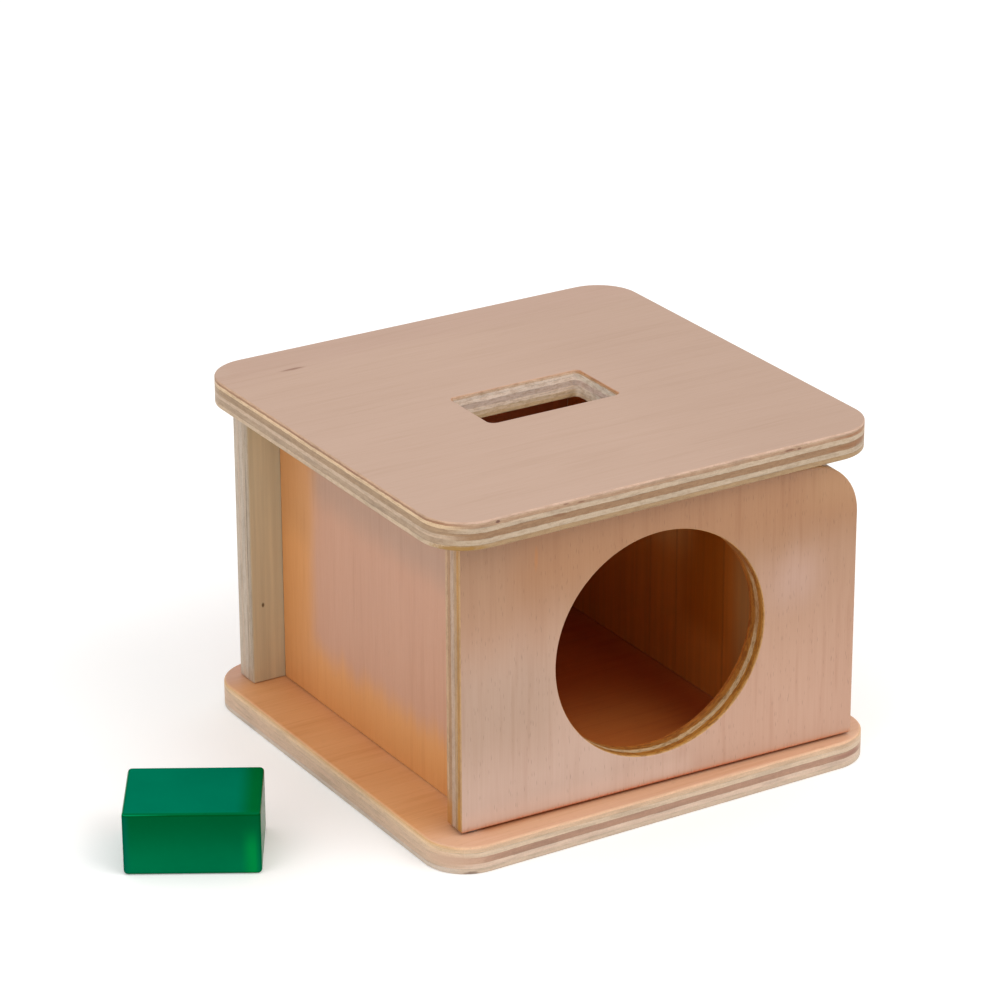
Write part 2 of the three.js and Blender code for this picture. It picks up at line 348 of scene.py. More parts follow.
plyDepth = makePlyDepth()
plywood = makePlywood()
areaTone = makeAreaTone()
grainAndShadeMark = makeGrainAndShadeMark()
print("node groups made")


def plyRamp(tree, depth, colours, levels=plySetup["levels"]):
    # one flat colour for each layer, from the back to the veneer
    node = newNode(tree, "ValToRGB", {0: depth})
    ramp = node.color_ramp
    ramp.interpolation = "CONSTANT"
    starts = [0.0] + [level / plySetup["thickness"] for level in levels]
    while len(ramp.elements) < len(starts):
        ramp.elements.new(1.0)
    for element, start, colour in zip(ramp.elements, starts, colours):
        element.position = start
        element.color = tint(*colour)
    return node.outputs["Color"]


def zone(low, high, border, wander, **colours):
    # one area of a board's face, in mm along the grain and across it from the middle
    return dict(low=(*low, 0), high=(*high, 0), border=border, wander=wander, **colours)


def areaMask(tree, place, area):
    bounds = {key: area[key] for key in ("low", "high", "border", "wander")}
    return useGroup(tree, areaTone, place=place, **bounds)["Mask"]


def plywoodMaterial(name, setup, grainAxes):
    material, tree, shader = newMaterial(name)
    coordinates = newNode(tree, "TexCoord").outputs
    turn = grainAxes.to_euler()
    back = grainAxes.to_3x3().inverted().to_euler()
    place = newNode(
        tree, "Mapping",
        {"Vector": coordinates["Object"], "Location": grainAxes.translation, "Rotation": turn,
         "Scale": (mm, mm, mm)},
        vector_type="TEXTURE",
    ).outputs[0]
    facing = newNode(
        tree, "Mapping", {"Vector": coordinates["Normal"], "Rotation": back}, vector_type="VECTOR",
    ).outputs[0]
    ragged = setup["ragged"]
    if "cut" in setup:
        cut = setup["cut"]
        inCut = areaMask(tree, place, cut)
        ragged = fade(tree, inCut, 0.0, 1.0, ragged, cut["ragged"])
    depth = useGroup(tree, plyDepth, place=place, ragged=ragged, seed=setup["seed"])
    veneer = tint(*setup["veneer"])
    figure = tint(*setup["figure"])
    behind = tint(*setup["back"])
    for area in setup.get("areas", []):
        mask = areaMask(tree, place, area)
        if "veneer" in area:
            veneer = mixed(tree, mask, veneer, tint(*area["veneer"]))
            figure = mixed(tree, mask, figure, tint(*area["figure"]))
        if "back" in area:
            behind = mixed(tree, mask, behind, tint(*area["back"]))
    sides = plyRamp(tree, depth["Depth"], setup["sides"])
    ends = plyRamp(tree, depth["Depth"], setup["ends"], setup.get("endLevels", plySetup["levels"]))
    if "cut" in setup:
        sides = mixed(tree, inCut, sides, plyRamp(tree, depth["Depth"], cut["sides"], cut["levels"]))
        ends = mixed(tree, inCut, ends, plyRamp(tree, depth["Depth"], cut["ends"], cut["levels"]))
    wood = useGroup(
        tree, plywood, place=place, facing=facing, veneer=veneer, figure=figure,
        back=behind, glue=depth["Glue"], sides=sides, ends=ends,
        flecks=setup["flecks"], streaks=setup["streaks"], ragged=ragged, seed=setup["seed"],
    )
    colour = wood["Colour"]
    for mark in setup.get("marks", []):
        mask = useGroup(tree, grainAndShadeMark, place=place, centre=mark["centre"], size=mark["size"])["Mask"]
        strength = calc(tree, "MULTIPLY", mask, mark["strength"])
        colour = mixed(tree, strength, colour, tint(*mark["colour"]))
    feedShader(tree, shader, colour, wood["Roughness"], wood["Height"])
    setShader(shader, {"Coat Weight": plySetup["coat"], "Coat Roughness": plySetup["coatRoughness"]})
    return material


# Board modelling

boardForm = dict(
    cornerSegments=14, arrisSteps=4, squareCorner=0.5 * mm, longSide=18 * mm, outlineStep=4.5 * mm,
    flatFacing=0.9,                               # how squarely a face looks out to count as flat
)
weldReach = 1e-7
boreSetup = dict(segments=32, endPlay=0.3 * mm, sharpAngle=math.radians(75))
pegs = [name for name in frame["nodes"] if name.startswith("dowel_") or name.endswith("_pin")]


def boardAxes(right, up, origin=(0, 0, 0), turn=0.0):
    # a board's own axes: right and up along its face, and out of its veneer
    right = Vector(right)
    up = Vector(up)
    columns = Matrix((right, up, right.cross(up))).transposed().to_4x4()
    return Matrix.Translation(origin) @ Matrix.Rotation(turn, 4, "Z") @ columns


def ownBox(node, axes):
    # a node's lowest and highest corner along a board's own axes
    toOwn = axes.inverted()
    points = [toOwn @ vertex.co for vertex in frame["nodes"][node].data.vertices]
    low = Vector([min(point[axis] for point in points) for axis in range(3)])
    high = Vector([max(point[axis] for point in points) for axis in range(3)])
    return low, high


def outlineFace(bm, low, high, radii, level):
    # a rectangle whose corners are rounded, from the lower left one round to the upper left one
    corners = ((low.x, low.y), (high.x, low.y), (high.x, high.y), (low.x, high.y))
    verts = [bm.verts.new((x, y, level)) for x, y in corners]
    bm.faces.new(verts)
    for vert, radius in zip(verts, radii):
        bmesh.ops.bevel(
            bm, geom=[vert], offset=radius, offset_type="OFFSET", affect="VERTICES", material=-1,
            segments=boardForm["cornerSegments"], profile=0.5, clamp_overlap=False,
        )


def openRing(bm):
    # drops the flat faces, keeps their outlines and joins the outer one to the inner one
    bmesh.ops.delete(bm, geom=bm.faces[:], context="FACES_KEEP_BOUNDARY")
    bmesh.ops.bridge_loops(bm, edges=bm.edges[:])
    bmesh.ops.recalc_face_normals(bm, faces=bm.faces[:])


def faceUp(bm):
    bm.normal_update()
    downward = [face for face in bm.faces if face.normal.z < 0]
    bmesh.ops.reverse_faces(bm, faces=downward)


def raiseFaces(bm, faces, lift):
    made = bmesh.ops.extrude_face_region(bm, geom=faces)["geom"]
    verts = [item for item in made if isinstance(item, bmesh.types.BMVert)]
    bmesh.ops.translate(bm, verts=verts, vec=(0, 0, lift))
    return [item for item in made if isinstance(item, bmesh.types.BMFace)]


def easeRim(bm, faces, arris):
    # rounds the rim of a face by short insets, each one flatter than the last
    steps = boardForm["arrisSteps"]
    quarter = math.pi / 2
    for step in range(steps):
        here = quarter * step / steps
        there = quarter * (step + 1) / steps
        bmesh.ops.inset_region(
            bm, faces=faces, use_boundary=True, use_even_offset=True,
            thickness=arris * (math.cos(here) - math.cos(there)),
            depth=arris * (math.sin(there) - math.sin(here)),
        )


def layUpPlies(bm, low, high, arris, backArris):
    # raises the flat faces to the veneer, with a fine groove at each glue line
    faceUp(bm)
    top = high.z - arris
    groove = plySetup["grooveHalf"]
    glueLines = [low.z + level * mm for level in plySetup["grooves"]]
    stops = sorted(line + side for line in glueLines for side in (-groove, 0.0, groove))
    stops = [stop for stop in stops if stop < top - groove] + [top]
    level = low.z + backArris
    faces = bm.faces[:]
    for stop in stops:
        raised = raiseFaces(bm, faces, stop - level)
        if stop is not stops[0]:
            bmesh.ops.delete(bm, geom=faces, context="FACES")
        faces = raised
        level = stop
    bmesh.ops.recalc_face_normals(bm, faces=bm.faces[:])
    bm.normal_update()
    for vert in bm.verts:
        if any(abs(vert.co.z - line) < weldReach for line in glueLines):
            vert.co -= vert.normal * plySetup["grooveDepth"]
    front = [face for face in bm.faces if face.normal.z > boardForm["flatFacing"]]
    rear = [face for face in bm.faces if face.normal.z < -boardForm["flatFacing"]]
    easeRim(bm, front, arris)
    easeRim(bm, rear, backArris)


def cutReach(point, cut):
    # how far a point lies outside the outline of an opening, and which way out is
    offset = Vector((point.x, point.y)) - Vector(cut["centre"])
    way = Vector((math.copysign(1, offset.x), math.copysign(1, offset.y)))
    inner = Vector((abs(offset.x), abs(offset.y))) - Vector(cut["half"])
    inner += Vector((cut["corner"], cut["corner"]))
    if min(inner) > 0:
        turned = inner.normalized()
        return inner.length - cut["corner"], Vector((turned.x * way.x, turned.y * way.y))
    if inner.x > inner.y:
        return inner.x - cut["corner"], Vector((way.x, 0))
    return inner.y - cut["corner"], Vector((0, way.y))


def roundCut(bm, cut, level, side, arris, ease):
    # widens the small rounding at an opening's rim to a larger one
    grown = ease / arris - 1
    for vert in bm.verts:
        deep = (level - vert.co.z) * side
        reach, way = cutReach(vert.co, cut)
        if deep < arris + weldReach and -weldReach < reach < arris + weldReach:
            vert.co += Vector((way.x, way.y, 0)) * reach * grown
            vert.co.z -= deep * side * grown


def boreTools(node, play):
    # one upright round tool for each pin or dowel that reaches into a board
    boardLow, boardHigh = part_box(node)
    bm = bmesh.new()
    for peg in pegs:
        low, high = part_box(peg)
        if all(low[axis] < boardHigh[axis] and boardLow[axis] < high[axis] for axis in range(3)):
            radius = (high.x - low.x) / 2 + play
            length = high.z - low.z + 2 * boreSetup["endPlay"]
            bmesh.ops.create_cone(
                bm, cap_ends=True, segments=boreSetup["segments"], radius1=radius, radius2=radius,
                depth=length, matrix=Matrix.Translation((low + high) / 2),
            )
    mesh = bpy.data.meshes.new("boreTools")
    bm.to_mesh(mesh)
    bm.free()
    return mesh


def cutBores(piece, node, play):
    # cuts the tools out of the mesh at once, so no modifier is left
    whole = piece.data
    tools = bpy.data.objects.new("boreTools", boreTools(node, play))
    bpy.context.scene.collection.objects.link(tools)
    cutter = piece.modifiers.new("bores", "BOOLEAN")
    cutter.operation = "DIFFERENCE"
    cutter.solver = "EXACT"
    cutter.object = tools
    bored = piece.evaluated_get(bpy.context.evaluated_depsgraph_get())
    piece.data = bpy.data.meshes.new_from_object(bored)
    piece.modifiers.remove(cutter)
    bpy.data.meshes.remove(tools.data)
    bpy.data.meshes.remove(whole)
    piece.data.name = piece.name


def finishPiece(bm, name, body, nodes, material, borePlay=None):
    bmesh.ops.remove_doubles(bm, verts=bm.verts[:], dist=weldReach)
    bmesh.ops.recalc_face_normals(bm, faces=bm.faces[:])
    mesh = bpy.data.meshes.new(name)
    bm.to_mesh(mesh)
    bm.free()
    piece = bpy.data.objects.new(name, mesh)
    bpy.context.scene.collection.objects.link(piece)
    if borePlay is not None:
        cutBores(piece, nodes[0], borePlay)
    piece.data.shade_smooth()
    piece.data.set_sharp_from_angle(angle=boreSetup["sharpAngle"])
    piece.data.materials.clear()
    piece.data.materials.append(material)
    evened = piece.modifiers.new("evenNormals", "WEIGHTED_NORMAL")
    evened.mode = "FACE_AREA_WITH_ANGLE"
    evened.keep_sharp = True
    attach(piece, body)
    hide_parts(*nodes)
    print("piece:", name, len(piece.data.polygons), "faces")
    return piece


def makeBoard(setup, axes, drawOutline):
    low, high = ownBox(setup["node"], axes)
    bm = bmesh.new()
    drawOutline(bm, low, high, low.z + setup["backArris"])
    layUpPlies(bm, low, high, setup["arris"], setup["backArris"])
    if "cut" in setup:
        roundCut(bm, setup["cut"], high.z, 1, setup["arris"], setup["cut"]["frontEase"])
        roundCut(bm, setup["cut"], low.z, -1, setup["backArris"], setup["cut"]["backEase"])
    bmesh.ops.transform(bm, matrix=axes, verts=bm.verts[:])
    right, up, out = (axes.to_3x3().col[column] for column in range(3))
    grain = up if setup["grainUp"] else right
    across = out.cross(grain)
    heart = axes @ Vector(((low.x + high.x) / 2, (low.y + high.y) / 2, low.z))
    grainAxes = Matrix((grain, across, out)).transposed().to_4x4()
    grainAxes.translation = heart
    material = plywoodMaterial(setup["piece"] + "Plywood", setup, grainAxes)
    return finishPiece(
        bm, setup["piece"], setup["body"], [setup["node"]], material, setup["borePlay"],
    )


# Base board

baseSetup = dict(
    piece="baseBoard", node="base_board", body="box", slot="board_plywood", grainUp=False,
    corner=14 * mm, arris=1.0 * mm, backArris=0.5 * mm, borePlay=0.15 * mm, seed=11.0,
    veneer=(222, 175, 143), figure=(208, 156, 120), back=(214, 188, 150),
    sides=[
        (207, 183, 159), (217, 190, 168), (176, 137, 113), (213, 188, 161), (210, 178, 147),
        (212, 176, 144), (229, 184, 147),
    ],
    ends=[
        (209, 190, 173), (210, 179, 152), (213, 181, 153), (220, 188, 156), (233, 198, 158),
        (225, 185, 140), (222, 173, 118),
    ],
    flecks=0.3, streaks=0.45, ragged=0.12,
    areas=[
        # painted orange bounce light from the left wall on the base's left strip, which lies in shade
        zone((-120, -58), (-52, 120), 12.0, 10.0, veneer=(226, 167, 112), figure=(210, 145, 88)),
        zone((-120, 60), (-60, 120), 6.0, 5.0, veneer=(210, 162, 134), figure=(198, 146, 116)),
        zone((-58, -70), (70, -40), 4.0, 2.0, veneer=(219, 173, 136), figure=(206, 156, 118)),
        # painted shade on the base where the door's foot stands over it
        zone((-60, -66), (64, -56), 2.5, 1.0, veneer=(202, 132, 84), figure=(188, 116, 68)),
        # painted shade inside the box: the floor turns orange, deeper and redder towards the back and the
        # right wall
        zone((-49, -62), (47, 57), 1.0, 0.0, veneer=(210, 120, 56), figure=(195, 101, 42)),
        zone((-49, -8), (47, 57), 18.0, 0.0, veneer=(192, 88, 34), figure=(176, 73, 25)),
        zone((32, -50), (47, 57), 12.0, 0.0, veneer=(170, 68, 22), figure=(155, 57, 16)),
    ],
    marks=[
        dict(centre=(-72, -69, 4.2), size=(15, 11, 2.6), strength=0.7, colour=(206, 168, 142)),
        dict(centre=(-67.7, -71.8, 0.4), size=(3.2, 3, 0.8), strength=0.8, colour=(132, 108, 92)),
        dict(centre=(65, -72, 4.2), size=(9, 6, 1.1), strength=0.45, colour=(146, 92, 78)),
    ],
)


def drawBase(bm, low, high, level):
    outlineFace(bm, low, high, [baseSetup["corner"]] * 4, level)


baseBoard = makeBoard(baseSetup, boardAxes((1, 0, 0), (0, 1, 0)), drawBase)


# Lid board with the posting slot

lidSetup = dict(
    piece="lidBoard", node="top_board", body="box", slot="board_plywood", grainUp=False,
    corner=14 * mm, arris=0.5 * mm, backArris=0.5 * mm, borePlay=0.15 * mm, seed=23.0,
    veneer=(191, 158, 137), figure=(178, 144, 121), back=(206, 180, 142),
    sides=[
        (166, 134, 95), (189, 166, 140), (153, 117, 83), (192, 168, 142), (173, 138, 108),
        (185, 152, 124), (207, 172, 149),
    ],
    ends=[
        (203, 176, 146), (178, 150, 122), (201, 173, 146), (171, 139, 106), (225, 192, 153),
        (168, 122, 88), (204, 167, 136),
    ],
    endLevels=(1.5, 3.2, 4.5, 6.4, 7.5, 8.2),
    flecks=0.12, streaks=0.28, ragged=0.3,
    areas=[
        zone((26, -120), (120, 120), 24.0, 10.0, veneer=(186, 153, 132), figure=(173, 139, 116)),
        zone((-90, 58), (120, 120), 8.0, 10.0, veneer=(187, 153, 133), figure=(174, 139, 117)),
    ],
    cut=dict(
        centre=(-0.3 * mm, -0.5 * mm), half=(22.7 * mm, 11.9 * mm), corner=2.0 * mm,
        frontEase=0.7 * mm, backEase=0.3 * mm, levels=(1.3, 2.6, 3.75, 5.6, 7.6, 8.25), ragged=0.45,
        low=(-24.0, -13.4, 0), high=(23.4, 12.4, 0), border=0.1, wander=0.0,
        # the slot's ply colours are painted lighter than the outer edges', to make up for the shade inside
        # the slot
        sides=[
            (198, 168, 128), (210, 184, 152), (230, 208, 187), (205, 182, 166), (240, 220, 202),
            (220, 188, 158), (196, 154, 124),
        ],
        ends=[
            (232, 210, 182), (238, 220, 198), (242, 226, 208), (226, 204, 190), (246, 232, 214),
            (222, 176, 132), (200, 140, 94),
        ],
    ),
    marks=[
        dict(centre=(-50.8, 57.5, 8.8), size=(5.4, 0.9, 4), strength=0.7, colour=(124, 76, 50)),
        dict(centre=(-72, 68, 4.4), size=(10, 12, 6), strength=0.5, colour=(196, 174, 153)),
        dict(centre=(-58.2, -73.5, 7.6), size=(0.9, 3, 0.6), strength=0.85, colour=(96, 50, 38)),
        dict(centre=(-37.7, -73.5, 4.9), size=(3.6, 3, 0.7), strength=0.7, colour=(128, 84, 52)),
        dict(centre=(-35.7, -73.5, 7.8), size=(1.6, 3, 0.35), strength=0.7, colour=(120, 76, 54)),
        dict(centre=(-30.5, -73.5, 7.4), size=(1.5, 3, 0.4), strength=0.7, colour=(124, 80, 56)),
        dict(centre=(41.5, -73.5, 7.5), size=(2.6, 3, 0.5), strength=0.75, colour=(118, 70, 46)),
        dict(centre=(44.7, -73.5, 7.3), size=(1.2, 3, 0.45), strength=0.8, colour=(110, 64, 42)),
        dict(centre=(66, -71, 4.3), size=(14, 10, 1.1), strength=0.6, colour=(140, 86, 42)),
        dict(centre=(67, -70, 7.3), size=(13, 10, 0.9), strength=0.6, colour=(146, 88, 40)),
        dict(centre=(-69, -70, 0.7), size=(11, 9, 1.2), strength=0.85, colour=(156, 112, 36)),
        dict(centre=(-75, -45.4, 7.8), size=(3, 2.4, 0.5), strength=0.6, colour=(140, 84, 60)),
        dict(centre=(-75, -20, 7.9), size=(3, 5, 0.35), strength=0.6, colour=(146, 90, 64)),
        dict(centre=(-75, 12, 7.9), size=(3, 9, 0.3), strength=0.5, colour=(150, 96, 66)),
    ],
)


def drawLid(bm, low, high, level):
    outlineFace(bm, low, high, [lidSetup["corner"]] * 4, level)
    slot = lidSetup["cut"]
    middle = Vector((*slot["centre"], 0))
    half = Vector((*slot["half"], 0))
    outlineFace(bm, middle - half, middle + half, [slot["corner"]] * 4, level)
    openRing(bm)


lidBoard = makeBoard(lidSetup, boardAxes((1, 0, 0), (0, 1, 0)), drawLid)


# Side walls and back panel

wallSetup = dict(
    body="box", slot="wall_plywood", grainUp=True, arris=0.4 * mm, backArris=0.4 * mm, borePlay=0.15 * mm,
    veneer=(203, 149, 119), figure=(190, 135, 104),
    # the inner face's orange is painted shade from inside the box, more saturated than bare poplar
    back=(206, 120, 44), flecks=0.18, streaks=0.32, ragged=0.2,
    sides=[
        (172, 141, 104), (205, 183, 158), (168, 136, 106), (205, 183, 158), (182, 152, 122),
        (190, 158, 128), (215, 181, 159),
    ],
    ends=[
        (197, 170, 146), (179, 155, 133), (195, 171, 148), (175, 147, 118), (210, 178, 146),
        (200, 168, 138), (200, 165, 135),
    ],
)
leftWallSetup = dict(
    # the left wall's inner face keeps a milder painted shade
    wallSetup, piece="leftWall", node="left_wall", seed=37.0, back=(206, 142, 82),
    areas=[
        # painted shadow under the lid on the upper part of the wall, deepest in a band just below it
        zone((24, -80), (80, 80), 10.0, 6.0, veneer=(197, 147, 117), figure=(184, 133, 103)),
        zone((22, -80), (34, 80), 6.0, 4.0, veneer=(186, 143, 117), figure=(173, 129, 103)),
        zone((-4, -80), (30, -49), 4.0, 3.0, veneer=(191, 141, 106), figure=(178, 127, 92)),
        # painted orange bounce light on the lower part and the back strip, with painted shade under the lid
        # at the top of that strip
        zone((-80, -80), (-28, 80), 6.0, 12.0, veneer=(222, 155, 92), figure=(207, 137, 75)),
        zone((-80, 37.4), (80, 80), 5.0, 5.0, veneer=(218, 151, 90), figure=(203, 133, 73)),
        zone((6, 37.4), (80, 80), 7.0, 6.0, veneer=(205, 143, 87), figure=(191, 126, 70)),
    ],
    marks=[
        dict(centre=(0, 56.6, 8.6), size=(90, 0.8, 3), strength=0.6, colour=(112, 58, 24)),
        dict(centre=(-46.3, 46, 8.6), size=(0.8, 16, 3), strength=0.4, colour=(122, 62, 22)),
    ],
)
rightWallSetup = dict(
    wallSetup, piece="rightWall", node="right_wall", seed=53.0,
    areas=[
        # painted light and shade on the inner face: a darker band, a pool of light at the top middle, lighter
        # towards the front
        zone((-26, 10), (80, 33), 6.0, 4.0, back=(180, 96, 18)),
        zone((0, -34), (80, 10), 11.0, 4.0, back=(236, 174, 104)),
        zone((-80, 39), (80, 80), 4.0, 2.0, back=(196, 134, 74)),
    ],
    marks=[
        dict(centre=(0, across, 0), size=(80, 0.7, 2), strength=0.25, colour=(96, 48, 18))
        for across in (-8.0, 6.5, 32)
    ],
)
backPanelSetup = dict(
    wallSetup, piece="backPanel", node="back_panel", seed=71.0,
    back=(206, 191, 158),
    sides=[
        (176, 156, 133), (187, 165, 142), (195, 177, 158), (196, 174, 152), (199, 183, 164),
        (196, 178, 158), (192, 172, 150),
    ],
    # painted shade on the inner face inside the box
    areas=[zone((-60, -48), (60, 48), 0.4, 0.0, back=(168, 82, 28))],
    marks=[
        dict(centre=(-20.3, -63.7, 0), size=(1.1, 0.7, 2), strength=0.9, colour=(70, 44, 22)),
        dict(centre=(4, -67.6, 1.7), size=(34, 2, 0.3), strength=0.7, colour=(84, 66, 50)),
        dict(centre=(-30, -67.6, 2.6), size=(12, 2, 0.25), strength=0.6, colour=(92, 72, 54)),
    ],
)


def drawUpright(bm, low, high, level):
    outlineFace(bm, low, high, [boardForm["squareCorner"]] * 4, level)


leftWall = makeBoard(leftWallSetup, boardAxes((0, -1, 0), (0, 0, 1)), drawUpright)
rightWall = makeBoard(rightWallSetup, boardAxes((0, 1, 0), (0, 0, 1)), drawUpright)
backPanel = makeBoard(backPanelSetup, boardAxes((-1, 0, 0), (0, 0, 1)), drawUpright)


# Front door on its pivot pins

doorSwing = next(joint for joint in frame["joints"] if joint["name"] == "door_swing")
doorPlies = [
    (197, 158, 121), (172, 130, 92), (189, 158, 134), (180, 143, 104), (184, 133, 66),
    (180, 128, 62), (190, 148, 101),
]
holePlies = [
    (184, 104, 32), (180, 112, 40), (184, 124, 54), (216, 182, 138), (182, 118, 42),
    (196, 134, 54), (204, 156, 94),
]
doorSetup = dict(
    piece="frontDoor", node="front_door", body="door", slot="door_plywood", grainUp=True,
    arris=0.5 * mm, backArris=0.5 * mm, borePlay=0.3 * mm, seed=89.0, corner=17.3 * mm,
    pivot=doorSwing["pos_m"], ajar=math.radians(doorSwing["range_deg"][0]),
    # the veneer and the areas below paint the light on the door: the shaded tone under the lid, lighter and
    # pinker towards the foot and the hinge side, darker at the upper right, a lighter line just above the
    # foot
    veneer=(168, 126, 93), figure=(155, 111, 79), back=(206, 148, 90),
    areas=[
        zone((-120, -160), (2, 160), 46.0, 8.0, veneer=(199, 157, 133), figure=(185, 139, 114)),
        zone((-120, -5), (-8, 160), 34.0, 8.0, veneer=(200, 168, 150), figure=(187, 151, 131)),
        zone((-24, 34), (7, 80), 12.0, 8.0, veneer=(183, 151, 130), figure=(170, 135, 112)),
        zone((24, -160), (120, 50), 9.0, 8.0, veneer=(170, 122, 84), figure=(157, 107, 70)),
        zone((32, -160), (120, -50), 6.0, 6.0, veneer=(177, 131, 92), figure=(164, 117, 78)),
        zone((3, -54), (17, -37), 7.0, 6.0, veneer=(188, 150, 130), figure=(176, 136, 113)),
        zone((-44.5, -10), (-39.5, 160), 3.0, 1.0, veneer=(209, 175, 156), figure=(197, 159, 138)),
        # painted warm shade along the door's foot, by the gap over the base
        zone((-120, -160), (-44.2, 160), 1.3, 0.6, veneer=(204, 140, 102), figure=(190, 124, 84)),
    ],
    cut=dict(
        centre=(62.65 * mm, 54.725 * mm), half=(35.6 * mm, 35.6 * mm), corner=35.6 * mm,
        frontEase=0.45 * mm, backEase=0.9 * mm, levels=(1.65, 3.25, 3.9, 5.75, 7.3, 8.1), ragged=0.8,
        low=(-38, -38, 0), high=(38, 38, 0), border=0.5, wander=0.0, sides=holePlies, ends=holePlies,
    ),
    sides=doorPlies, ends=doorPlies, flecks=0.55, streaks=0.40, ragged=0.3,
    marks=[
        dict(centre=(36.5, 42.6, 8.8), size=(5, 0.8, 3), strength=0.45, colour=(186, 118, 56)),
        # painted shade on the upper right of the hole's wall
        dict(centre=(26, -24, 5.2), size=(24, 18, 3.4), strength=0.95, colour=(156, 92, 36)),
        dict(centre=(2, -35, 5.0), size=(12, 6, 2.0), strength=0.5, colour=(168, 108, 50)),
        # painted shade of the gap, reddening the door's lower arris
        dict(centre=(-45.4, 0, 7.5), size=(1.4, 120, 6), strength=0.8, colour=(190, 80, 30)),
        # painted shade with orange light reflected from the base, at the foot of the door's hinge end
        dict(centre=(-42, 67.4, 0.8), size=(9, 3, 3.2), strength=0.85, colour=(186, 118, 42)),
        dict(centre=(-41, 67.4, 7.3), size=(10, 3, 1.2), strength=0.75, colour=(190, 132, 44)),
    ],
)


def drawDoor(bm, low, high, level):
    square = boardForm["squareCorner"]
    outlineFace(bm, low, high, [square, square, doorSetup["corner"], square], level)
    sides = [edge for edge in bm.edges if edge.calc_length() > boardForm["longSide"]]
    for edge in sides:
        cuts = round(edge.calc_length() / boardForm["outlineStep"]) - 1
        bmesh.ops.subdivide_edges(bm, edges=[edge], cuts=cuts)
    hole = doorSetup["cut"]
    middle = Matrix.Translation((*hole["centre"], level))
    bmesh.ops.create_circle(bm, segments=len(bm.edges), radius=hole["corner"], matrix=middle)
    openRing(bm)


doorAxes = boardAxes((1, 0, 0), (0, 0, 1), doorSetup["pivot"], doorSetup["ajar"])
frontDoor = makeBoard(doorSetup, doorAxes, drawDoor)


# Steel pins and washer

steelSetup = dict(
    colour=(150, 152, 153), stainGrain=(0.4, 0.4, 0.2), stainSpan=(0.3, 0.7, 0.82, 1.08),
    drawnGrain=(5.0, 5.0, 0.4), drawnRelief=0.01, glossSpan=(0.25, 0.75, 0.34, 0.50),
    pinSegments=48, pinChamfer=0.4 * mm, washerArris=0.12 * mm, washerPlay=0.3 * mm,
)


def makeSteel():
    material, tree, shader = newMaterial("pivotSteel")
    place = inMillimetres(tree)
    drawn = noise(tree, place, steelSetup["drawnGrain"], detail=3)
    stain = noise(tree, place, steelSetup["stainGrain"], detail=3)
    colour = dimmed(tree, tint(*steelSetup["colour"]), fade(tree, stain, *steelSetup["stainSpan"]))
    gloss = fade(tree, drawn, *steelSetup["glossSpan"])
    relief = calc(tree, "MULTIPLY", drawn, steelSetup["drawnRelief"])
    feedShader(tree, shader, colour, gloss, relief)
    setShader(shader, {"Metallic": 1.0})
    return material


pivotSteel = makeSteel()


def spinProfile(profile, centre):
    # turns a half section, given as radius and height, once round an upright axis
    bm = bmesh.new()
    verts = [bm.verts.new((radius, 0, height)) for radius, height in profile]
    edges = [bm.edges.new(pair) for pair in zip(verts, verts[1:])]
    bmesh.ops.spin(
        bm, geom=verts + edges, cent=(0, 0, 0), axis=(0, 0, 1), angle=2 * math.pi,
        steps=steelSetup["pinSegments"], use_merge=True,
    )
    bmesh.ops.remove_doubles(bm, verts=bm.verts[:], dist=weldReach)
    bmesh.ops.translate(bm, verts=bm.verts[:], vec=centre)
    return bm


def makePin(name, node):
    low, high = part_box(node)
    radius = (high.x - low.x) / 2
    chamfer = steelSetup["pinChamfer"]
    length = high.z - low.z
    profile = [
        (0, 0), (radius - chamfer, 0), (radius, chamfer),
        (radius, length - chamfer), (radius - chamfer, length), (0, length),
    ]
    bm = spinProfile(profile, ((low.x + high.x) / 2, (low.y + high.y) / 2, low.z))
    return finishPiece(bm, name, "box", [node], pivotSteel)


def makeWasher(name, node, boreNode):
    low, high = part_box(node)
    pinLow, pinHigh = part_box(boreNode)
    outer = (high.x - low.x) / 2
    bore = (pinHigh.x - pinLow.x) / 2 + steelSetup["washerPlay"]
    thick = high.z - low.z
    ease = steelSetup["washerArris"]
    profile = [
        (bore, ease), (bore + ease, 0), (outer - ease, 0), (outer, ease),
        (outer, thick - ease), (outer - ease, thick), (bore + ease, thick), (bore, thick - ease),
        (bore, ease),
    ]
    bm = spinProfile(profile, ((low.x + high.x) / 2, (low.y + high.y) / 2, low.z))
    return finishPiece(bm, name, "box", [node], pivotSteel)


lowerPin = makePin("lowerPin", "lower_pivot_pin")
upperPin = makePin("upperPin", "upper_pivot_pin")
thrustWasher = makeWasher("thrustWasher", "thrust_washer", "lower_pivot_pin")


# Dowels keep their solids and get bare birch

dowelSetup = dict(
    light=(224, 200, 162), dark=(196, 166, 122), fibreGrain=(1.6, 1.6, 0.08), fibreSpan=(0.3, 0.7),
    fibreRelief=0.04, glossSpan=(0.2, 0.8, 0.58, 0.74),
)


def makeDowelWood():
    material, tree, shader = newMaterial("dowelBirch")
    fibre = noise(tree, inMillimetres(tree), dowelSetup["fibreGrain"], detail=4, roughness=0.6)
    darker = fade(tree, fibre, *dowelSetup["fibreSpan"])
    colour = mixed(tree, darker, tint(*dowelSetup["light"]), tint(*dowelSetup["dark"]))
    relief = calc(tree, "MULTIPLY", fibre, dowelSetup["fibreRelief"])
    feedShader(tree, shader, colour, fade(tree, fibre, *dowelSetup["glossSpan"]), relief)
    return material


dowelBirch = makeDowelWood()
for name, node in frame["nodes"].items():
    if name.startswith("dowel_"):
        node.data.materials.clear()
        node.data.materials.append(dowelBirch)
print("dowels finished")


# Green block

